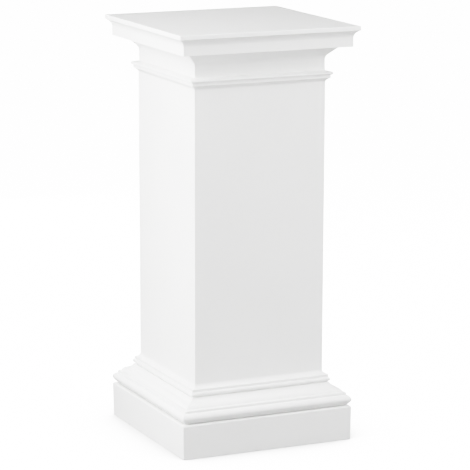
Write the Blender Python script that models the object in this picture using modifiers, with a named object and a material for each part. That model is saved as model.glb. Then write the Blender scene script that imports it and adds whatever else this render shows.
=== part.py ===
"""Square column pedestal with Doric mouldings, one closed casting standing on the floor.

From the floor up: plinth, torus, fillet, ogee, bead, fillet and cove, plain shaft,
neck band (cove, fillet and bead), neck, flared bed moulding, corona, cove and cap slab.
Metres, +Z up, origin at the middle of the underside, front face towards -Y.
"""
import math

import bpy

# Shaft, the face that every projection is measured from
SHAFT_WIDTH = 0.268
SHAFT_HEIGHT = 0.5594
SHAFT_SPREAD = 0.0007

# Plinth
PLINTH_PROJECTION = 0.0422
PLINTH_DRAFT = 0.001
PLINTH_HEIGHT = 0.0666
PLINTH_TOP_EDGE = 0.0029
PLINTH_FOOT_EDGE = 0.001

# Base mouldings, upwards from the plinth
BASE_GROOVE_HEIGHT = 0.0012
BASE_GROOVE_DEPTH = 0.0022
BASE_FILLET_PROJECTION = 0.0345
BASE_FILLET_HEIGHT = 0.0045
TORUS_SWELL = 0.008
TORUS_UNDER_HEIGHT = 0.0095
TORUS_UNDER_BOW = 0.0008
TORUS_CROWN_HEIGHT = 0.0101
TORUS_CROWN_BOW = 0.0028
SPLAY_DEPTH = 0.0055
SPLAY_HEIGHT = 0.0017
OGEE_FOOT_HEIGHT = 0.0008
OGEE_SWELL_DEPTH = 0.0087
OGEE_SWELL_HEIGHT = 0.0068
OGEE_SWELL_BOW = 0.0013
OGEE_HOLLOW_DEPTH = 0.0102
OGEE_HOLLOW_HEIGHT = 0.0084
OGEE_HOLLOW_BOW = 0.0012
BEAD_GROOVE_PROJECTION = 0.0074
BEAD_GROOVE_HEIGHT = 0.0019
BASE_BEAD_HEIGHT = 0.0081
BASE_BEAD_SWELL = 0.0031
COVE_FILLET_PROJECTION = 0.0089
COVE_FILLET_HEIGHT = 0.005
BASE_COVE_HEIGHT = 0.0086
BASE_COVE_BOW = 0.0023

# Neck band
BAND_COVE_HEIGHT = 0.0071
BAND_COVE_BOW = 0.0011
BAND_FILLET_PROJECTION = 0.0082
BAND_FILLET_HEIGHT = 0.0062
BAND_BEAD_HEIGHT = 0.0055
BAND_BEAD_PROJECTION = 0.0096
BAND_BEAD_SWELL = 0.0023
BAND_WASH_HEIGHT = 0.0026
BAND_WASH_BOW = 0.0003

# Neck and cap
NECK_SETBACK = 0.0001
NECK_HEIGHT = 0.0262
FLARE_PROJECTION = 0.0212
FLARE_HEIGHT = 0.0203
FLARE_ROUND = 0.014
CORONA_PROJECTION = 0.0393
CORONA_HEIGHT = 0.0182
CAP_COVE_DEPTH = 0.0087
CAP_COVE_HEIGHT = 0.0122
CAP_COVE_BOW = 0.0019
CAP_LIP_DEPTH = 0.0018
CAP_LIP_HEIGHT = 0.0008
CAP_SLAB_HEIGHT = 0.0083
CAP_SLAB_EDGE = 0.001

# Facets along one curved stretch, and the sides of the square plan
ARC_STEPS = 8
EDGE_STEPS = 3
PLAN_SIDES = 4

# White primer
PRIMER_COLOUR = (0.87, 0.87, 0.865, 1.0)
PRIMER_ROUGHNESS = 0.5


class Moulding:
    """A profile drawn upwards: points of (projection from the shaft's face, height)."""

    def __init__(self, projection):
        self.points = [(projection, 0.0)]

    def line(self, projection, rise=0.0):
        """Go straight to a projection, and up by a rise."""
        height = self.points[-1][1]
        self.points.append((projection, height + rise))

    def arc(self, projection, rise, bow, steps=ARC_STEPS):
        """Go there along an arc whose middle stands out from its chord by bow, or is hollow below 0."""
        start_projection, start_height = self.points[-1]
        along = (projection - start_projection, rise)
        chord = math.hypot(*along)
        outward = (along[1] / chord, -along[0] / chord)
        depth = abs(bow)
        radius = (chord * chord / 4 + depth * depth) / (2 * depth)
        half_angle = 2 * math.atan2(2 * depth, chord)
        for step in range(1, steps + 1):
            angle = half_angle * (2 * step / steps - 1)
            share = 0.5 + radius * math.sin(angle) / chord
            offset = math.copysign(radius * math.cos(angle) - (radius - depth), bow)
            self.points.append((
                start_projection + share * along[0] + offset * outward[0],
                start_height + share * along[1] + offset * outward[1],
            ))

    def rounded_edge(self, side, radius):
        """Turn a square edge with a quarter round: side is +1 outwards, -1 inwards."""
        bow = radius * (1 - math.cos(math.pi / 4))
        self.arc(self.points[-1][0] + side * radius, radius, bow, EDGE_STEPS)


def base_profile(moulding):
    """Plinth and base mouldings, up to the shaft."""
    moulding.rounded_edge(1, PLINTH_FOOT_EDGE)
    moulding.line(PLINTH_PROJECTION, PLINTH_HEIGHT - PLINTH_FOOT_EDGE - PLINTH_TOP_EDGE)
    moulding.rounded_edge(-1, PLINTH_TOP_EDGE)
    moulding.line(BASE_FILLET_PROJECTION - BASE_GROOVE_DEPTH)
    moulding.line(BASE_FILLET_PROJECTION - BASE_GROOVE_DEPTH, BASE_GROOVE_HEIGHT)
    moulding.line(BASE_FILLET_PROJECTION)
    moulding.arc(BASE_FILLET_PROJECTION + TORUS_SWELL, TORUS_UNDER_HEIGHT, TORUS_UNDER_BOW)
    moulding.arc(BASE_FILLET_PROJECTION, TORUS_CROWN_HEIGHT, TORUS_CROWN_BOW)
    moulding.line(BASE_FILLET_PROJECTION, BASE_FILLET_HEIGHT)
    ogee_foot = BASE_FILLET_PROJECTION - SPLAY_DEPTH
    moulding.line(ogee_foot, SPLAY_HEIGHT)
    moulding.line(ogee_foot, OGEE_FOOT_HEIGHT)
    ogee_middle = ogee_foot - OGEE_SWELL_DEPTH
    moulding.arc(ogee_middle, OGEE_SWELL_HEIGHT, OGEE_SWELL_BOW)
    moulding.arc(ogee_middle - OGEE_HOLLOW_DEPTH, OGEE_HOLLOW_HEIGHT, -OGEE_HOLLOW_BOW)
    moulding.line(BEAD_GROOVE_PROJECTION)
    moulding.line(BEAD_GROOVE_PROJECTION, BEAD_GROOVE_HEIGHT)
    moulding.line(COVE_FILLET_PROJECTION)
    moulding.arc(COVE_FILLET_PROJECTION, BASE_BEAD_HEIGHT, BASE_BEAD_SWELL)
    moulding.line(COVE_FILLET_PROJECTION, COVE_FILLET_HEIGHT)
    moulding.arc(0.0, BASE_COVE_HEIGHT, -BASE_COVE_BOW)


def neck_band_profile(moulding):
    """Cove, fillet and bead that part the shaft from the neck."""
    moulding.arc(BAND_FILLET_PROJECTION, BAND_COVE_HEIGHT, -BAND_COVE_BOW)
    moulding.line(BAND_FILLET_PROJECTION, BAND_FILLET_HEIGHT)
    moulding.line(BAND_BEAD_PROJECTION)
    moulding.arc(BAND_BEAD_PROJECTION, BAND_BEAD_HEIGHT, BAND_BEAD_SWELL)
    moulding.arc(-NECK_SETBACK, BAND_WASH_HEIGHT, -BAND_WASH_BOW)


def cap_profile(moulding):
    """Neck, flare, corona and cap slab, up to the flat top."""
    flare_slope = math.atan2(FLARE_PROJECTION + NECK_SETBACK, FLARE_HEIGHT)
    rounded = FLARE_ROUND * math.tan(flare_slope / 2)
    moulding.line(-NECK_SETBACK, NECK_HEIGHT - rounded)
    round_reach = rounded * math.sin(flare_slope) - NECK_SETBACK
    round_top = rounded * math.cos(flare_slope)
    moulding.arc(round_reach, rounded + round_top, -FLARE_ROUND * (1 - math.cos(flare_slope / 2)))
    moulding.line(FLARE_PROJECTION, FLARE_HEIGHT - round_top)
    moulding.line(CORONA_PROJECTION)
    moulding.line(CORONA_PROJECTION, CORONA_HEIGHT)
    cove_top = CORONA_PROJECTION + CAP_COVE_DEPTH
    moulding.arc(cove_top, CAP_COVE_HEIGHT, -CAP_COVE_BOW)
    slab_projection = cove_top + CAP_LIP_DEPTH
    moulding.line(slab_projection, CAP_LIP_HEIGHT)
    moulding.line(slab_projection, CAP_SLAB_HEIGHT - CAP_SLAB_EDGE)
    moulding.rounded_edge(-1, CAP_SLAB_EDGE)


def pedestal_profile():
    """The whole profile as (half width, height) points, from the top's middle down to the floor's."""
    moulding = Moulding(PLINTH_PROJECTION - PLINTH_DRAFT - PLINTH_FOOT_EDGE)
    base_profile(moulding)
    moulding.line(SHAFT_SPREAD, SHAFT_HEIGHT)
    neck_band_profile(moulding)
    cap_profile(moulding)
    outline = [(SHAFT_WIDTH / 2 + projection, height) for projection, height in moulding.points]
    top = outline[-1][1]
    return [(0.0, top)] + outline[::-1] + [(0.0, 0.0)]


def clear_scene():
    for old in list(bpy.data.objects):
        bpy.data.objects.remove(old, do_unlink=True)


def primer_material():
    material = bpy.data.materials.new("white_primer")
    material.use_nodes = True
    shader = material.node_tree.nodes["Principled BSDF"]
    shader.inputs["Base Color"].default_value = PRIMER_COLOUR
    shader.inputs["Roughness"].default_value = PRIMER_ROUGHNESS
    shader.inputs["Metallic"].default_value = 0.0
    material.diffuse_color = PRIMER_COLOUR
    return material


def square_turning(name, profile, collection):
    """Turn a profile through four steps: a square plan, with every moulding mitred at the arrises."""
    to_corner = 1 / math.cos(math.pi / PLAN_SIDES)
    points = [(half_width * to_corner, 0.0, height) for half_width, height in profile]
    mesh = bpy.data.meshes.new(name)
    mesh.from_pydata(points, [(i, i + 1) for i in range(len(points) - 1)], [])
    turned = bpy.data.objects.new(name, mesh)
    turned.rotation_euler.z = math.pi / PLAN_SIDES
    collection.objects.link(turned)
    screw = turned.modifiers.new("square_plan", "SCREW")
    screw.axis = "Z"
    screw.angle = 2 * math.pi
    screw.steps = PLAN_SIDES
    screw.render_steps = PLAN_SIDES
    screw.use_merge_vertices = True
    screw.merge_threshold = 0.00001
    screw.use_smooth_shade = False
    return turned


def main():
    clear_scene()
    collection = bpy.data.collections.new("column_pedestal")
    bpy.context.scene.collection.children.link(collection)
    pedestal = square_turning("pedestal", pedestal_profile(), collection)
    pedestal.data.materials.append(primer_material())


main()
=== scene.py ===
"""Square column pedestal with Doric mouldings: its finished look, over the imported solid.

The profile is drawn upwards from named sizes, softened as thick primer softens it, and turned
round a square plan by a Geometry Nodes tree. Metres, +Z up, front face towards -Y.
"""
import math

import bpy
from bpy.props import FloatProperty, FloatVectorProperty, IntProperty, PointerProperty
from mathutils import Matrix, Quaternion, Vector


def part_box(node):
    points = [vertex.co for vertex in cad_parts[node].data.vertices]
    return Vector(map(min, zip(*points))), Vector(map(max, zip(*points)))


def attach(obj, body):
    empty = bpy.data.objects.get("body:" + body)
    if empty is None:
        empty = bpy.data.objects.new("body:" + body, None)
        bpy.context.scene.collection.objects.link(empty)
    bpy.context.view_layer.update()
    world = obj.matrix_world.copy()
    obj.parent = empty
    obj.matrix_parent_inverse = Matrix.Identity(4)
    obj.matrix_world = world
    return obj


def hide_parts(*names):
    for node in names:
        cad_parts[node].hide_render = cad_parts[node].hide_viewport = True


bl_info = {
    "name": "Square Column Pedestal",
    "version": (1, 0, 0),
    "blender": (4, 5, 0),
    "location": "View3D > Sidebar > Pedestal",
    "description": "Builds a white primed column pedestal with Doric mouldings in a pale studio",
    "category": "Add Mesh",
}

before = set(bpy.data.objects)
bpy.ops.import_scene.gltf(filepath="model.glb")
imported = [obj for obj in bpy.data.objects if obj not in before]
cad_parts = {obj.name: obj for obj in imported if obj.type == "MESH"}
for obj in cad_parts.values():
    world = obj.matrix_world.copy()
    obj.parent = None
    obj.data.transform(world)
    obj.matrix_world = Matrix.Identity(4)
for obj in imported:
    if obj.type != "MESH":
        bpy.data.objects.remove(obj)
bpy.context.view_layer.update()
CAD_LOWEST, CAD_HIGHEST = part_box("pedestal")

# Spacing of points, on an arc as drawn and along the whole line while it is softened
ARC_STEP = 0.0004
LEAST_ARC_STEPS = 4
FILM_STEP = 0.0002

# How many spreads away a point still counts when the line is softened
BLUR_REACH = 3

# The line is flat where it turns less than the first, and keeps a point for every turn of the second
FLAT_TURN = math.radians(0.08)
KEPT_TURN = math.radians(5.0)

# Size of the hollows and edges that get painted shade and a painted highlight, and the depth that
# counts in full
HOLLOW_REACH = 0.0022
HOLLOW_DEPTH = 0.0007

# Faces of the plan are joined where their points lie closer than this
MERGE_DISTANCE = 0.000005

# Noise in the primer: octaves, roughness, and the parts of its range that are used
WIDE_DETAIL = 3.0
FINE_DETAIL = 2.0
NOISE_ROUGHNESS = 0.5
CLOUD_RANGE = (0.25, 0.75)
FINE_RANGE = (0.3, 0.7)

# Patches of roughness across one cloud
ROUGHNESS_PATCHES = 3

# Layout of a node tree: nodes in a column, and the steps between columns and rows
COLUMN_NODES = 4
COLUMN_STEP = 220
ROW_STEP = 240

FLOOR_SIDES = 96
WHITE = (1.0, 1.0, 1.0, 1.0)

# Rise of a direction, as a sine: the walls light in full up to the first, and not past the second
WALL_FULL = 0.25
WALL_END = 0.45

# Camera: width of its sensor in millimetres, and how far it sees
SENSOR_WIDTH = 36.0
VIEW_REACH = 100.0

# Softboxes: each one's degrees left of the front, and above the level of their aim
SOFTBOXES = {
    "left_low": (80, 10),
    "left_high": (80, 50),
    "front_high": (30, 50),
    "front_low": (-30, 10),
    "right": (-60, 20),
    "right_back": (-110, 2),
    "back": (180, 2),
    "overhead": (0, 85),
}
SOFTBOX_AIM = (0.0, 0.0, 0.42)

# Tall strip light: degrees left of the front, degrees up, and distance, all from the point it aims at
STRIP_AZIMUTH = 78
STRIP_ELEVATION = 0
STRIP_DISTANCE = 0.8
STRIP_AIM = (0.0, 0.0, 0.8)

# How open the floor is at the foot of an upright face, where the painted contact shadow is darkest
HALF_OPEN = 0.5

# The view's tone curve: which of its curves, the brightest light that it tells apart, and its points
COMBINED_CURVE = 3
CURVE_TOP = 4.0
CURVE_POINTS = 48


def length(name, default, description, least=0.0):
    return FloatProperty(name=name, description=description, default=default, min=least,
                         unit="LENGTH", subtype="DISTANCE", precision=5)


def share(name, default, description):
    return FloatProperty(name=name, description=description, default=default, min=0.0, max=1.0,
                         subtype="FACTOR", precision=3)


def angle(name, default, description):
    return FloatProperty(name=name, description=description, default=math.radians(default),
                         subtype="ANGLE", unit="ROTATION")


def strength(name, default, description):
    return FloatProperty(name=name, description=description, default=default, min=0.0, precision=3)


def colour(name, default, description):
    return FloatVectorProperty(name=name, description=description, default=default, min=0.0,
                               max=1.0, size=3, subtype="COLOR")


class PlinthAndBaseSizes(bpy.types.PropertyGroup):
    """The square plinth and the mouldings on it, upwards, each measured out from the shaft's face"""

    plinth_projection: length("Plinth projection", 0.0422, "How far the plinth stands out at its top")
    plinth_draft: length("Plinth draft", 0.001, "How much further in the plinth's foot is")
    plinth_height: length("Plinth height", 0.0666, "Height of the plinth")
    plinth_top_edge: length("Plinth top edge", 0.0029, "Rounding of the plinth's upper edge")
    plinth_foot_edge: length("Plinth foot edge", 0.001, "Rounding of the plinth's lower edge")
    groove_height: length("Groove height", 0.0012, "Shadow groove between plinth and torus")
    groove_depth: length("Groove depth", 0.0022, "How far the shadow groove is cut in behind the torus")
    fillet_projection: length("Fillet projection", 0.0345, "Where torus and fillet start from")
    fillet_height: length("Fillet height", 0.0045, "Flat band over the torus")
    torus_swell: length("Torus swell", 0.008, "How far the big round swells out")
    torus_under_height: length("Torus underside height", 0.0095, "Height of its flatter underside")
    torus_under_bow: length("Torus underside bow", 0.0008, "Roundness of its underside")
    torus_crown_height: length("Torus crown height", 0.0101, "Height of its part over the widest line")
    torus_crown_bow: length("Torus crown bow", 0.0028, "Roundness of that upper part")
    splay_depth: length("Splay depth", 0.0055, "How far the sloped face over the fillet goes in")
    splay_height: length("Splay height", 0.0017, "Height of that sloped face")
    ogee_foot_height: length("Ogee foot height", 0.0008, "Small upright step under the ogee")
    ogee_swell_depth: length("Ogee swell depth", 0.0087, "Depth of the ogee's round lower half")
    ogee_swell_height: length("Ogee swell height", 0.0068, "Height of the ogee's round lower half")
    ogee_swell_bow: length("Ogee swell bow", 0.0013, "Roundness of the ogee's lower half")
    ogee_hollow_depth: length("Ogee hollow depth", 0.0102, "Depth of the ogee's hollow upper half")
    ogee_hollow_height: length("Ogee hollow height", 0.0084, "Height of the ogee's hollow upper half")
    ogee_hollow_bow: length("Ogee hollow bow", 0.0012, "Hollowness of the ogee's upper half")
    bead_groove_projection: length("Bead groove projection", 0.0074, "Bottom of the bead's groove")
    bead_groove_height: length("Bead groove height", 0.0019, "Height of that groove under the bead")
    bead_height: length("Bead height", 0.0081, "Height of the small round")
    bead_swell: length("Bead swell", 0.0031, "How far the small round swells out")
    cove_fillet_projection: length("Cove fillet projection", 0.0089, "Flat band under the cove")
    cove_fillet_height: length("Cove fillet height", 0.005, "Height of the flat band under the cove")
    cove_height: length("Cove height", 0.0086, "Hollow that runs up into the shaft")
    cove_bow: length("Cove bow", 0.0023, "Hollowness of the base's cove")


class NeckAndCapSizes(bpy.types.PropertyGroup):
    """The neck band, neck and cap, upwards, each measured out from the shaft's face"""

    band_cove_height: length("Band cove height", 0.0071, "Hollow that leaves the shaft")
    band_cove_bow: length("Band cove bow", 0.0011, "Hollowness of the band's cove")
    band_fillet_projection: length("Band fillet projection", 0.0082, "Flat band of the neck band")
    band_fillet_height: length("Band fillet height", 0.0062, "Height of that flat band")
    band_bead_height: length("Band bead height", 0.0055, "Height of the small round on top")
    band_bead_projection: length("Band bead projection", 0.0096, "Where the small round starts from")
    band_bead_swell: length("Band bead swell", 0.0023, "How far the small round swells out")
    band_wash_height: length("Band wash height", 0.0026, "Slope from the small round to the neck")
    band_wash_bow: length("Band wash bow", 0.0003, "Hollowness of that slope")
    neck_setback: length("Neck setback", 0.0001, "How far the neck lies behind the shaft's face")
    neck_height: length("Neck height", 0.0262, "Plain neck")
    flare_projection: length("Flare projection", 0.0212, "How far the bed moulding flares out")
    flare_height: length("Flare height", 0.0203, "Height of the flared bed moulding")
    flare_round: length("Flare round", 0.014, "Radius of the turn from the neck into the flare")
    corona_projection: length("Corona projection", 0.0393, "How far the cap's fascia stands out")
    corona_height: length("Corona height", 0.0182, "Height of the cap's fascia")
    cove_depth: length("Cap cove depth", 0.0087, "How far the cap's cove goes out")
    cove_height: length("Cap cove height", 0.0122, "Height of the cap's cove")
    cove_bow: length("Cap cove bow", 0.0019, "Hollowness of the cap's cove")
    lip_depth: length("Cap lip depth", 0.0018, "Overhang of the cap slab")
    lip_height: length("Cap lip height", 0.0008, "Slope under the cap slab's edge")
    slab_height: length("Cap slab height", 0.0083, "Thickness of the cap slab's edge")
    slab_edge: length("Cap slab edge", 0.001, "Rounding of the cap slab's upper edge")


class PedestalSizes(bpy.types.PropertyGroup):
    """Overall sizes, and how soft the primed edges are"""

    overall_height: length("Overall height", CAD_HIGHEST.z - CAD_LOWEST.z, "From floor to flat top")
    shaft_width: length("Shaft width", 0.268, "Across the flats of the square shaft, at its foot")
    shaft_spread: length("Shaft spread", 0.0007, "How much further out each face is at the top")
    plan_sides: IntProperty(name="Plan sides", description="Sides of the plan", default=4,
                            min=3, max=12)
    arris_radius: length("Arris radius", 0.001, "Rounding of the upright edges")
    cap_arris_radius: length("Cap arris radius", 0.001, "Rounding of the cap slab's corners in plan")
    arris_steps: IntProperty(name="Arris steps", description="Facets in half an upright edge",
                             default=4, min=1)
    face_steps: IntProperty(name="Face steps", description="Facets along a face", default=4, min=1)
    support: length("Support", 0.0008, "Width of the first flat strip beside an upright edge")
    film: length("Primer film", 0.0003, "Softening of the mouldings' edges by the primer")
    groove_film: length("Groove film", 0.00018, "Softening in the narrow grooves")


class PrimerFinish(bpy.types.PropertyGroup):
    """White primer, sprayed and lightly sanded"""

    primer_colour: colour("Colour", (0.93, 0.93, 0.925), "Colour of the primer")
    roughness: share("Roughness", 0.42, "Roughness of the primer")
    roughness_drift: share("Roughness drift", 0.08, "How much the roughness drifts")
    cloud: share("Cloudiness", 0.010, "How much wide clouds of the coat differ in tone")
    cloud_scale: strength("Cloud scale", 9.0, "Clouds in a metre")
    speck: share("Mottle", 0.004, "How much small mottles differ in tone")
    speck_scale: strength("Mottle scale", 140.0, "Mottles in a metre")
    # Painted shade: the primer's colour is made greyer in hollows, where shade falls
    painted_hollow_shade: share("Hollow shade", 0.006, "How much greyer the coat is in hollows")
    # Painted highlight: the primer's colour is made lighter on edges, where the rounded arrises catch
    # the light
    painted_edge_highlight: share("Edge light", 0.002, "How much lighter the coat is on edges")
    peel_scale: strength("Orange peel scale", 420.0, "Spray ripples in a metre")
    peel_depth: length("Orange peel depth", 0.00002, "Depth of the spray ripples")
    wave_scale: strength("Waviness scale", 22.0, "Slow waves in a metre")
    wave_depth: length("Waviness depth", 0.00025, "Depth of the slow waves")


class StudioLook(bpy.types.PropertyGroup):
    """Pale floor, soft light and the camera"""

    floor_radius: length("Floor radius", 30.0, "Radius of the floor")
    floor_tone: share("Floor tone", 0.9, "How pale the floor looks")
    floor_glow: strength("Floor glow", 2.4, "How brightly it seems to glow, as a light table does")
    # The contact shadow is painted: the floor's glow is dimmed where ambient occlusion finds the
    # pedestal near
    contact_glow: strength("Contact glow", 0.0, "How brightly it seems to glow in the contact shadow")
    contact_reach: length("Contact reach", 0.15, "How far the contact shadow spreads")
    bounce_tone: share("Bounce tone", 0.35, "How much of the lamps' light the floor throws back up")
    bounce_glow: strength("Bounce glow", 0.1, "Light of the floor's own that reaches the pedestal")
    wall_bright: strength("Wall brightness", 2.85, "How bright the studio's walls look")
    wall_light: strength("Wall light", 0.65, "Light of the walls that reaches the pedestal")
    left_low_power: strength("Left, low", 20.9, "Watts of the softbox low on the left")
    left_high_power: strength("Left, high", 12.8, "Watts of the softbox high on the left")
    front_high_power: strength("Front, high", 18.0, "Watts of the softbox high in front")
    front_low_power: strength("Front, low", 11.4, "Watts of the softbox low at the right front")
    right_power: strength("Right", 21.3, "Watts of the softbox on the right")
    right_back_power: strength("Right back", 14.0, "Watts of the softbox at the right back")
    back_power: strength("Back", 20.0, "Watts of the softbox behind")
    overhead_power: strength("Overhead", 14.8, "Watts of the softbox overhead")
    strip_power: strength("Strip", 4.8, "Watts of the tall strip light close on the left")
    strip_width: length("Strip width", 0.25, "Width of the strip light")
    strip_height: length("Strip height", 1.5, "Height of the strip light")
    softbox_size: length("Softbox size", 1.2, "Across a softbox")
    softbox_distance: length("Softbox distance", 2.4, "From a softbox to the pedestal")
    shoulder: share("Highlight shoulder", 0.5, "Brightness above which highlights are held back")
    camera_azimuth: angle("Camera azimuth", -24.41, "Turn of the view round the pedestal")
    camera_elevation: angle("Camera elevation", 11.70, "Height of the view above the horizon")
    camera_roll: angle("Camera roll", 0.08, "Roll of the camera")
    camera_distance: length("Camera distance", 4.903, "From the camera to its target")
    camera_target: FloatVectorProperty(name="Camera target", description="Middle of the view",
                                       default=(-0.01017, 0.00462, 0.3827), subtype="TRANSLATION",
                                       unit="LENGTH")
    focal_length: FloatProperty(name="Focal length", description="Lens", default=194.5, unit="CAMERA")
    shift_x: FloatProperty(name="Shift across", description="Sideways framing", default=0.0223)
    shift_y: FloatProperty(name="Shift up", description="Upright framing", default=0.0007)


class Moulding:
    """A profile drawn upwards as points of projection, height, film thickness and arris radius."""

    def __init__(self, projection, film, arris):
        self.film = film
        self.arris = arris
        self.points = [(projection, 0.0, film, arris)]

    def reach(self):
        return self.points[-1][0]

    def height(self):
        return self.points[-1][1]

    def add(self, projection, height):
        self.points.append((projection, height, self.film, self.arris))

    def line(self, projection, rise=0.0):
        """Go straight to a projection, and up by a rise."""
        self.add(projection, self.height() + rise)

    def arc(self, projection, rise, bow):
        """Go there along an arc whose middle stands out from its chord by bow, or is hollow below 0."""
        start_projection = self.reach()
        start_height = self.height()
        along = (projection - start_projection, rise)
        chord = math.hypot(*along)
        outward = (along[1] / chord, -along[0] / chord)
        depth = abs(bow)
        radius = (chord * chord / 4 + depth * depth) / (2 * depth)
        half_angle = 2 * math.atan2(2 * depth, chord)
        steps = max(LEAST_ARC_STEPS, math.ceil(2 * half_angle * radius / ARC_STEP))
        for step in range(1, steps + 1):
            turn = half_angle * (2 * step / steps - 1)
            part = 0.5 + radius * math.sin(turn) / chord
            offset = math.copysign(radius * math.cos(turn) - (radius - depth), bow)
            self.add(
                start_projection + part * along[0] + offset * outward[0],
                start_height + part * along[1] + offset * outward[1],
            )

    def rounded_edge(self, side, radius):
        """Turn a square edge with a quarter round: side is +1 outwards, -1 inwards."""
        bow = radius * (1 - math.cos(math.pi / 4))
        self.arc(self.reach() + side * radius, radius, bow)


def draw_base(moulding, base, sizes):
    """Plinth and base mouldings, up to the shaft."""
    moulding.rounded_edge(1, base.plinth_foot_edge)
    upright = base.plinth_height - base.plinth_foot_edge - base.plinth_top_edge
    moulding.line(base.plinth_projection, upright)
    moulding.rounded_edge(-1, base.plinth_top_edge)
    moulding.film = sizes.groove_film
    moulding.line(base.fillet_projection - base.groove_depth)
    moulding.line(base.fillet_projection - base.groove_depth, base.groove_height)
    moulding.line(base.fillet_projection)
    moulding.film = sizes.film
    torus_projection = base.fillet_projection + base.torus_swell
    moulding.arc(torus_projection, base.torus_under_height, base.torus_under_bow)
    moulding.arc(base.fillet_projection, base.torus_crown_height, base.torus_crown_bow)
    moulding.line(base.fillet_projection, base.fillet_height)
    ogee_foot = base.fillet_projection - base.splay_depth
    moulding.line(ogee_foot, base.splay_height)
    moulding.line(ogee_foot, base.ogee_foot_height)
    ogee_middle = ogee_foot - base.ogee_swell_depth
    moulding.arc(ogee_middle, base.ogee_swell_height, base.ogee_swell_bow)
    moulding.arc(ogee_middle - base.ogee_hollow_depth, base.ogee_hollow_height, -base.ogee_hollow_bow)
    moulding.film = sizes.groove_film
    moulding.line(base.bead_groove_projection)
    moulding.line(base.bead_groove_projection, base.bead_groove_height)
    moulding.line(base.cove_fillet_projection)
    moulding.film = sizes.film
    moulding.arc(base.cove_fillet_projection, base.bead_height, base.bead_swell)
    moulding.line(base.cove_fillet_projection, base.cove_fillet_height)
    moulding.arc(0.0, base.cove_height, -base.cove_bow)


def draw_neck_band(moulding, cap):
    """Cove, fillet and bead that part the shaft from the neck."""
    moulding.arc(cap.band_fillet_projection, cap.band_cove_height, -cap.band_cove_bow)
    moulding.line(cap.band_fillet_projection, cap.band_fillet_height)
    moulding.line(cap.band_bead_projection)
    moulding.arc(cap.band_bead_projection, cap.band_bead_height, cap.band_bead_swell)
    moulding.arc(-cap.neck_setback, cap.band_wash_height, -cap.band_wash_bow)


def draw_cap(moulding, cap, sizes):
    """Neck, flare, corona and cap slab, up to the flat top."""
    flare_slope = math.atan2(cap.flare_projection + cap.neck_setback, cap.flare_height)
    rounded = cap.flare_round * math.tan(flare_slope / 2)
    moulding.line(-cap.neck_setback, cap.neck_height - rounded)
    round_reach = rounded * math.sin(flare_slope) - cap.neck_setback
    round_top = rounded * math.cos(flare_slope)
    moulding.arc(round_reach, rounded + round_top, -cap.flare_round * (1 - math.cos(flare_slope / 2)))
    moulding.line(cap.flare_projection, cap.flare_height - round_top)
    moulding.line(cap.corona_projection)
    moulding.line(cap.corona_projection, cap.corona_height)
    cove_top = cap.corona_projection + cap.cove_depth
    moulding.arc(cove_top, cap.cove_height, -cap.cove_bow)
    slab_projection = cove_top + cap.lip_depth
    moulding.arris = sizes.cap_arris_radius
    moulding.line(slab_projection, cap.lip_height)
    moulding.line(slab_projection, cap.slab_height - cap.slab_edge)
    moulding.rounded_edge(-1, cap.slab_edge)


def neck_and_cap_height(cap):
    band = cap.band_cove_height + cap.band_fillet_height + cap.band_bead_height + cap.band_wash_height
    bed = cap.neck_height + cap.flare_height + cap.corona_height
    return band + bed + cap.cove_height + cap.lip_height + cap.slab_height


def pedestal_profile(sizes, base, cap):
    """The whole profile as (half width, height, film, arris), from the floor's middle to the top's."""
    foot = base.plinth_projection - base.plinth_draft - base.plinth_foot_edge
    moulding = Moulding(foot, sizes.film, sizes.arris_radius)
    draw_base(moulding, base, sizes)
    shaft_height = sizes.overall_height - moulding.height() - neck_and_cap_height(cap)
    moulding.line(sizes.shaft_spread, shaft_height)
    draw_neck_band(moulding, cap)
    draw_cap(moulding, cap, sizes)
    half = sizes.shaft_width / 2
    outline = [(half + reach, height, film, arris) for reach, height, film, arris in moulding.points]
    floor_middle = (0.0, 0.0, outline[0][2], outline[0][3])
    top_middle = (0.0, outline[-1][1], outline[-1][2], outline[-1][3])
    return [floor_middle] + outline + [top_middle]


def even_points(points, step):
    """The same line with a point every step along it; each point carries its film and arris."""
    even = [points[0]]
    for start, end in zip(points, points[1:]):
        stretch = math.dist(start[:2], end[:2])
        count = max(1, round(stretch / step))
        for number in range(1, count + 1):
            part = number / count
            even.append(tuple(a + (b - a) * part for a, b in zip(start, end)))
    return even


def blurred(line, spreads, step):
    """Each point averaged with its neighbours along the line, by its own spread."""
    out = []
    last = len(line) - 1
    for place, (point, spread) in enumerate(zip(line, spreads)):
        reach = min(math.ceil(BLUR_REACH * spread / step), place, last - place)
        if reach == 0:
            out.append(point)
            continue
        total = 0.0
        sums = [0.0] * len(point)
        for shift in range(-reach, reach + 1):
            weight = math.exp(-0.5 * (shift * step / spread) ** 2)
            total += weight
            for axis, value in enumerate(line[place + shift]):
                sums[axis] += weight * value
        out.append(tuple(value / total for value in sums))
    return out


def turn_at(line, place):
    """How far the line turns at a point, in radians."""
    before = Vector(line[place][:2]) - Vector(line[place - 1][:2])
    after = Vector(line[place + 1][:2]) - Vector(line[place][:2])
    return abs(before.angle_signed(after, 0.0))


def thinned(line, extra):
    """Points where the line bends, and one flat point on each side of every bend."""
    turns = [math.pi] + [turn_at(line, place) for place in range(1, len(line) - 1)] + [math.pi]
    kept = []
    turned = 0.0
    for place, turn in enumerate(turns):
        flat = turn < FLAT_TURN
        turned += turn
        beside_bend = flat and (turns[place - 1] >= FLAT_TURN or turns[place + 1] >= FLAT_TURN)
        if beside_bend or (not flat and turned >= KEPT_TURN):
            kept.append((line[place], extra[place]))
            turned = 0.0
    return kept


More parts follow.
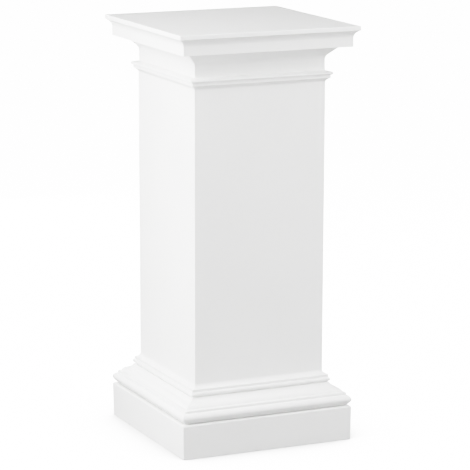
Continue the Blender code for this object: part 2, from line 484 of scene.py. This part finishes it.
def hollowness(line, step):
    """Above 0 in hollows and below 0 on edges, from -1 to 1."""
    smooth = blurred([point[:2] for point in line], [HOLLOW_REACH] * len(line), step)
    values = []
    for place, point in enumerate(line):
        ahead = line[min(place + 1, len(line) - 1)]
        behind = line[max(place - 1, 0)]
        along = Vector((ahead[0] - behind[0], ahead[1] - behind[1])).normalized()
        outward = Vector((along.y, -along.x))
        stands_out = (Vector(smooth[place]) - Vector(point[:2])).dot(outward)
        values.append(max(-1.0, min(1.0, stands_out / HOLLOW_DEPTH)))
    return values


def profile_mesh(name, sizes, base, cap):
    """The softened profile as a line mesh whose points carry their arris radius and hollowness."""
    line = even_points(pedestal_profile(sizes, base, cap), FILM_STEP)
    films = [point[2] for point in line]
    soft = blurred(line, films, FILM_STEP)
    kept = thinned(soft, hollowness(soft, FILM_STEP))
    mesh = bpy.data.meshes.new(name)
    places = [(point[0], 0.0, point[1]) for point, _ in kept]
    mesh.from_pydata(places, [(number, number + 1) for number in range(len(places) - 1)], [])
    arris = mesh.attributes.new("arris_radius", "FLOAT", "POINT")
    arris.data.foreach_set("value", [point[3] for point, _ in kept])
    hollow = mesh.attributes.new("hollow", "FLOAT", "POINT")
    hollow.data.foreach_set("value", [value for _, value in kept])
    return mesh


class NodeBench:
    """Adds nodes to a tree and joins their sockets, laid out in columns."""

    def __init__(self, tree):
        self.tree = tree
        self.count = 0

    def add(self, kind, inputs=None, **settings):
        node = self.tree.nodes.new(kind)
        for name, value in settings.items():
            setattr(node, name, value)
        for socket, value in (inputs or {}).items():
            if isinstance(value, bpy.types.NodeSocket):
                self.tree.links.new(value, node.inputs[socket])
            else:
                node.inputs[socket].default_value = value
        column, row = divmod(self.count, COLUMN_NODES)
        node.location = (COLUMN_STEP * column, -ROW_STEP * row)
        self.count += 1
        return node

    def math(self, operation, first, second=0.0):
        return self.add("ShaderNodeMath", {0: first, 1: second}, operation=operation).outputs[0]

    def ramp(self, value, start, end, low, high):
        """A value from low at start to high at end, and level outside."""
        inputs = {"Value": value, "From Min": start, "From Max": end, "To Min": low, "To Max": high}
        return self.add("ShaderNodeMapRange", inputs).outputs["Result"]


def square_turning_tree():
    """Geometry Nodes tree: a profile line is laid along one face of the plan, and the face repeated."""
    tree = bpy.data.node_groups.new("Square turning", "GeometryNodeTree")
    face = tree.interface
    face.new_socket(name="Profile", in_out="INPUT", socket_type="NodeSocketGeometry")
    face.new_socket(name="Plan sides", in_out="INPUT", socket_type="NodeSocketInt")
    face.new_socket(name="Arris steps", in_out="INPUT", socket_type="NodeSocketInt")
    face.new_socket(name="Face steps", in_out="INPUT", socket_type="NodeSocketInt")
    face.new_socket(name="Support", in_out="INPUT", socket_type="NodeSocketFloat")
    face.new_socket(name="Finish", in_out="INPUT", socket_type="NodeSocketMaterial")
    face.new_socket(name="Pedestal", in_out="OUTPUT", socket_type="NodeSocketGeometry")
    bench = NodeBench(tree)
    given = bench.add("NodeGroupInput").outputs
    profile = given["Profile"]
    half_turn = bench.math("DIVIDE", math.pi, given["Plan sides"])

    rows = bench.add("GeometryNodeAttributeDomainSize", {"Geometry": profile}).outputs["Point Count"]
    face_start = bench.math("ADD", given["Arris steps"], 1.0)
    face_end = bench.math("ADD", face_start, given["Face steps"])
    far_arris = bench.math("ADD", face_end, 1.0)
    last_column = bench.math("ADD", far_arris, given["Arris steps"])
    columns = bench.math("ADD", last_column, 1.0)
    counts = {"Vertices X": columns, "Vertices Y": rows}
    grid = bench.add("GeometryNodeMeshGrid", counts).outputs["Mesh"]

    shared = {0: bench.add("GeometryNodeInputIndex").outputs[0], 1: rows}
    column = bench.add("FunctionNodeIntegerMath", shared, operation="DIVIDE_FLOOR").outputs[0]
    row = bench.add("FunctionNodeIntegerMath", shared, operation="MODULO").outputs[0]

    def from_profile(value, data_type="FLOAT"):
        inputs = {"Geometry": profile, "Value": value, "Index": row}
        return bench.add("GeometryNodeSampleIndex", inputs, data_type=data_type).outputs[0]

    def attribute(name):
        return bench.add("GeometryNodeInputNamedAttribute", {"Name": name}).outputs["Attribute"]

    def minus(value):
        return bench.math("MULTIPLY", value, -1.0)

    position = bench.add("GeometryNodeInputPosition").outputs[0]
    place = bench.add("ShaderNodeSeparateXYZ", {0: from_profile(position, "FLOAT_VECTOR")}).outputs
    half_width = place["X"]
    radius = bench.math("MINIMUM", from_profile(attribute("arris_radius")), half_width)
    flat = bench.math("SUBTRACT", half_width, radius)
    support = bench.math("MINIMUM", given["Support"], flat)
    inner = bench.math("SUBTRACT", flat, support)

    middle = bench.ramp(column, face_start, face_end, minus(inner), inner)
    near = bench.ramp(column, given["Arris steps"], face_start, minus(support), 0.0)
    far = bench.ramp(column, face_end, far_arris, 0.0, support)
    along = bench.math("ADD", middle, bench.math("ADD", near, far))
    near_turn = bench.ramp(column, 0.0, given["Arris steps"], minus(half_turn), 0.0)
    far_turn = bench.ramp(column, far_arris, last_column, 0.0, half_turn)
    turn = bench.math("ADD", near_turn, far_turn)
    across = bench.math("ADD", along, bench.math("MULTIPLY", radius, bench.math("SINE", turn)))
    outwards = bench.math("ADD", flat, bench.math("MULTIPLY", radius, bench.math("COSINE", turn)))
    where = bench.add("ShaderNodeCombineXYZ", {
        "X": across,
        "Y": minus(outwards),
        "Z": place["Z"],
    }).outputs[0]
    strip = bench.add("GeometryNodeSetPosition", {"Geometry": grid, "Position": where}).outputs[0]
    strip = bench.add("GeometryNodeStoreNamedAttribute", {
        "Geometry": strip,
        "Name": "hollow",
        "Value": from_profile(attribute("hollow")),
    }).outputs[0]

    sides = bench.add("GeometryNodePoints", {"Count": given["Plan sides"]}).outputs[0]
    side = bench.add("GeometryNodeInputIndex").outputs[0]
    side_turn = bench.math("MULTIPLY", side, bench.math("MULTIPLY", half_turn, 2.0))
    rotation = bench.add("FunctionNodeAxisAngleToRotation", {"Angle": side_turn}).outputs[0]
    round_plan = bench.add("GeometryNodeInstanceOnPoints", {
        "Points": sides,
        "Instance": strip,
        "Rotation": rotation,
    }).outputs[0]
    loose = bench.add("GeometryNodeRealizeInstances", {"Geometry": round_plan}).outputs[0]
    closed = bench.add("GeometryNodeMergeByDistance", {
        "Geometry": loose,
        "Distance": MERGE_DISTANCE,
    }).outputs[0]
    smooth = bench.add("GeometryNodeSetShadeSmooth", {"Geometry": closed}).outputs[0]
    coated = bench.add("GeometryNodeSetMaterial", {
        "Geometry": smooth,
        "Material": given["Finish"],
    }).outputs[0]
    bench.add("NodeGroupOutput", {"Pedestal": coated})
    return tree


def set_inputs(modifier, values):
    """Give a Geometry Nodes modifier its named inputs."""
    for item in modifier.node_group.interface.items_tree:
        if item.in_out == "INPUT" and item.name in values:
            modifier[item.identifier] = values[item.name]


def primer_material(finish):
    """White primer: faint clouds and mottles, painted shade in hollows, a painted highlight on edges,
    and a sprayed surface.
    """
    material = bpy.data.materials.new("white_primer")
    material.use_nodes = True
    bench = NodeBench(material.node_tree)
    shader = material.node_tree.nodes["Principled BSDF"]
    place = bench.add("ShaderNodeTexCoord").outputs["Object"]

    def noise(scale, detail):
        inputs = {"Vector": place, "Scale": scale, "Detail": detail, "Roughness": NOISE_ROUGHNESS}
        return bench.add("ShaderNodeTexNoise", inputs).outputs["Fac"]

    cloud_noise = noise(finish.cloud_scale, WIDE_DETAIL)
    clouds = bench.ramp(cloud_noise, *CLOUD_RANGE, -finish.cloud, finish.cloud)
    speck_noise = noise(finish.speck_scale, FINE_DETAIL)
    mottles = bench.ramp(speck_noise, *FINE_RANGE, -finish.speck, finish.speck)
    hollow = bench.add("ShaderNodeAttribute", attribute_name="hollow").outputs["Fac"]
    # Painted shade greys the colour in hollows, where shade falls, and a painted highlight lightens it
    # on edges, where the rounded arrises catch the light
    shade = bench.ramp(hollow, 0.0, 1.0, 0.0, -finish.painted_hollow_shade)
    light = bench.ramp(hollow, -1.0, 0.0, finish.painted_edge_highlight, 0.0)
    tone = bench.math("ADD", bench.math("ADD", clouds, mottles), bench.math("ADD", shade, light))
    tone = bench.math("ADD", tone, 1.0)
    tinted = bench.add("ShaderNodeVectorMath", {0: tuple(finish.primer_colour)}, operation="SCALE")
    material.node_tree.links.new(tone, tinted.inputs["Scale"])
    material.node_tree.links.new(tinted.outputs[0], shader.inputs["Base Color"])

    low = finish.roughness - finish.roughness_drift
    high = finish.roughness + finish.roughness_drift
    patches = noise(finish.cloud_scale * ROUGHNESS_PATCHES, WIDE_DETAIL)
    roughness = bench.ramp(patches, *FINE_RANGE, low, high)
    material.node_tree.links.new(roughness, shader.inputs["Roughness"])

    waves = bench.add("ShaderNodeBump", {
        "Height": noise(finish.wave_scale, FINE_DETAIL),
        "Distance": finish.wave_depth,
    }).outputs[0]
    peel = bench.add("ShaderNodeBump", {
        "Height": noise(finish.peel_scale, FINE_DETAIL),
        "Distance": finish.peel_depth,
        "Normal": waves,
    }).outputs[0]
    material.node_tree.links.new(peel, shader.inputs["Normal"])
    material.diffuse_color = (*finish.primer_colour, 1.0)
    return material


class PEDESTAL_OT_cast(bpy.types.Operator):
    """Cast the pedestal from its profile and coat it with white primer"""

    bl_idname = "pedestal.cast"
    bl_label = "Cast Pedestal"

    def execute(self, context):
        scene = context.scene
        sizes = scene.pedestal_sizes
        material = primer_material(scene.pedestal_primer)
        mesh = profile_mesh("profile", sizes, scene.pedestal_base, scene.pedestal_cap)
        profile = bpy.data.objects.new("profile", mesh)
        scene.collection.objects.link(profile)
        modifier = profile.modifiers.new("Square turning", "NODES")
        modifier.node_group = square_turning_tree()
        set_inputs(modifier, {
            "Plan sides": sizes.plan_sides,
            "Arris steps": sizes.arris_steps,
            "Face steps": sizes.face_steps,
            "Support": sizes.support,
            "Finish": material,
        })
        evaluated = profile.evaluated_get(context.evaluated_depsgraph_get())
        turned = bpy.data.meshes.new_from_object(evaluated)
        turned.name = "primed_pedestal"
        bpy.data.objects.remove(profile)
        if not turned.polygons:
            raise RuntimeError("The square turning gave no faces")
        pedestal = bpy.data.objects.new("primed_pedestal", turned)
        scene.collection.objects.link(pedestal)
        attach(pedestal, "root")
        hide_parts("pedestal")
        return {"FINISHED"}


def floor_material(look):
    """A light table: bright to look at, with a painted contact shadow where its glow is dimmed near the
    pedestal over the real shadow, and gentler in the light that it throws up.
    """
    material = bpy.data.materials.new("pale_floor")
    material.use_nodes = True
    bench = NodeBench(material.node_tree)
    shader = material.node_tree.nodes["Principled BSDF"]
    shader.inputs["Roughness"].default_value = 1.0
    shader.inputs["Specular IOR Level"].default_value = 0.0
    shader.inputs["Emission Color"].default_value = WHITE
    seen = bench.add("ShaderNodeLightPath").outputs["Is Camera Ray"]
    tone = bench.ramp(seen, 0.0, 1.0, look.bounce_tone, look.floor_tone)
    # Painted contact shadow: for the camera the floor's glow fades where ambient occlusion finds the
    # pedestal near; the floor's real shading adds a real shadow on top
    openness = bench.add("ShaderNodeAmbientOcclusion", {"Distance": look.contact_reach}).outputs["AO"]
    seen_glow = bench.ramp(openness, HALF_OPEN, 1.0, look.contact_glow, look.floor_glow)
    glow = bench.ramp(seen, 0.0, 1.0, look.bounce_glow, seen_glow)
    material.node_tree.links.new(tone, shader.inputs["Base Color"])
    material.node_tree.links.new(glow, shader.inputs["Emission Strength"])
    return material


def lay_floor(scene, look):
    """A wide round floor, level with the pedestal's underside."""
    ring = []
    for step in range(FLOOR_SIDES):
        turn = 2 * math.pi * step / FLOOR_SIDES
        ring.append((look.floor_radius * math.cos(turn), look.floor_radius * math.sin(turn), 0.0))
    mesh = bpy.data.meshes.new("floor")
    mesh.from_pydata(ring, [], [list(range(FLOOR_SIDES))])
    mesh.materials.append(floor_material(look))
    floor = bpy.data.objects.new("floor", mesh)
    scene.collection.objects.link(floor)


def light_room(scene, look):
    """Walls that look bright but light the pedestal gently, and from low down only."""
    world = bpy.data.worlds.new("studio")
    world.use_nodes = True
    scene.world = world
    bench = NodeBench(world.node_tree)
    background = world.node_tree.nodes["Background"]
    direction = bench.add("ShaderNodeTexCoord").outputs["Generated"]
    height = bench.add("ShaderNodeSeparateXYZ", {0: direction}).outputs["Z"]
    light = bench.ramp(height, WALL_FULL, WALL_END, look.wall_light, 0.0)
    seen = bench.add("ShaderNodeLightPath").outputs["Is Camera Ray"]
    level = bench.ramp(seen, 0.0, 1.0, light, look.wall_bright)
    world.node_tree.links.new(level, background.inputs["Strength"])
    background.inputs["Color"].default_value = WHITE


def hang_light(scene, name, power, size, place, target):
    """Hang a round softbox, or with a pair of sizes an oblong one, and aim it."""
    data = bpy.data.lights.new(name, "AREA")
    if isinstance(size, tuple):
        data.shape = "RECTANGLE"
        data.size, data.size_y = size
    else:
        data.shape = "DISK"
        data.size = size
    data.energy = power
    light = bpy.data.objects.new(name, data)
    light.location = place
    light.rotation_euler = (Vector(target) - Vector(place)).to_track_quat("-Z", "Y").to_euler()
    scene.collection.objects.link(light)


def light_place(azimuth, elevation, distance, target):
    """A point seen from the target at an azimuth left of the front, in degrees, and an elevation."""
    turn = math.radians(azimuth)
    rise = math.radians(elevation)
    flat = math.cos(rise) * distance
    away = Vector((-math.sin(turn) * flat, -math.cos(turn) * flat, math.sin(rise) * distance))
    return Vector(target) + away


def set_camera(scene, look):
    """The camera at its angle, turned a little about its own axis."""
    data = bpy.data.cameras.new("photo_camera")
    data.sensor_width = SENSOR_WIDTH
    data.lens = look.focal_length
    data.shift_x = look.shift_x
    data.shift_y = look.shift_y
    data.clip_end = VIEW_REACH
    camera = bpy.data.objects.new("photo_camera", data)
    target = Vector(look.camera_target)
    azimuth = math.degrees(-look.camera_azimuth)
    elevation = math.degrees(look.camera_elevation)
    camera.location = light_place(azimuth, elevation, look.camera_distance, target)
    view = (target - camera.location).to_track_quat("-Z", "Y")
    camera.rotation_mode = "QUATERNION"
    camera.rotation_quaternion = view @ Quaternion((0.0, 0.0, 1.0), look.camera_roll)
    scene.collection.objects.link(camera)
    scene.camera = camera


def shouldered(light, shoulder):
    """Brightness as shown: as it is up to the shoulder, then rolled off softly towards white."""
    if light <= shoulder:
        return light
    room = 1.0 - shoulder
    return shoulder + room * (1.0 - math.exp((shoulder - light) / room))


def hold_highlights(scene, shoulder):
    """Roll highlights off with the view's curve, as a camera does."""
    view = scene.view_settings
    view.view_transform = "Standard"
    view.use_curve_mapping = True
    mapping = view.curve_mapping
    mapping.white_level = [CURVE_TOP] * 3
    curve = mapping.curves[COMBINED_CURVE]
    for number in range(1, CURVE_POINTS):
        part = number / CURVE_POINTS
        curve.points.new(part, shouldered(part * CURVE_TOP, shoulder))
    curve.points[-1].location = (1.0, shouldered(CURVE_TOP, shoulder))
    mapping.update()


class PEDESTAL_OT_stage(bpy.types.Operator):
    """Lay the pale floor, hang the soft lights and set the camera"""

    bl_idname = "pedestal.stage"
    bl_label = "Set Stage"

    def execute(self, context):
        scene = context.scene
        look = scene.pedestal_studio
        lay_floor(scene, look)
        light_room(scene, look)
        for name, (azimuth, elevation) in SOFTBOXES.items():
            power = getattr(look, name + "_power")
            place = light_place(azimuth, elevation, look.softbox_distance, SOFTBOX_AIM)
            hang_light(scene, name, power, look.softbox_size, place, SOFTBOX_AIM)
        strip_size = (look.strip_width, look.strip_height)
        place = light_place(STRIP_AZIMUTH, STRIP_ELEVATION, STRIP_DISTANCE, STRIP_AIM)
        hang_light(scene, "strip", look.strip_power, strip_size, place, STRIP_AIM)
        set_camera(scene, look)
        hold_highlights(scene, look.shoulder)
        return {"FINISHED"}


class PEDESTAL_PT_panel(bpy.types.Panel):
    """Sizes, finish and stage of the pedestal"""

    bl_idname = "PEDESTAL_PT_panel"
    bl_label = "Column Pedestal"
    bl_space_type = "VIEW_3D"
    bl_region_type = "UI"
    bl_category = "Pedestal"

    def draw(self, context):
        scene = context.scene
        self.layout.operator(PEDESTAL_OT_cast.bl_idname)
        self.layout.operator(PEDESTAL_OT_stage.bl_idname)
        for heading, group in (
            ("Overall", scene.pedestal_sizes),
            ("Plinth and base", scene.pedestal_base),
            ("Neck and cap", scene.pedestal_cap),
            ("Primer", scene.pedestal_primer),
            ("Studio", scene.pedestal_studio),
        ):
            box = self.layout.box()
            box.label(text=heading)
            for name in group.__annotations__:
                box.prop(group, name)


CLASSES = (
    PlinthAndBaseSizes,
    NeckAndCapSizes,
    PedestalSizes,
    PrimerFinish,
    StudioLook,
    PEDESTAL_OT_cast,
    PEDESTAL_OT_stage,
    PEDESTAL_PT_panel,
)


def register():
    for cls in CLASSES:
        bpy.utils.register_class(cls)
    bpy.types.Scene.pedestal_sizes = PointerProperty(type=PedestalSizes)
    bpy.types.Scene.pedestal_base = PointerProperty(type=PlinthAndBaseSizes)
    bpy.types.Scene.pedestal_cap = PointerProperty(type=NeckAndCapSizes)
    bpy.types.Scene.pedestal_primer = PointerProperty(type=PrimerFinish)
    bpy.types.Scene.pedestal_studio = PointerProperty(type=StudioLook)


def unregister():
    del bpy.types.Scene.pedestal_studio
    del bpy.types.Scene.pedestal_primer
    del bpy.types.Scene.pedestal_cap
    del bpy.types.Scene.pedestal_base
    del bpy.types.Scene.pedestal_sizes
    for cls in reversed(CLASSES):
        bpy.utils.unregister_class(cls)


def main():
    register()
    bpy.ops.pedestal.cast()
    bpy.ops.pedestal.stage()


if __name__ == "__main__":
    main()
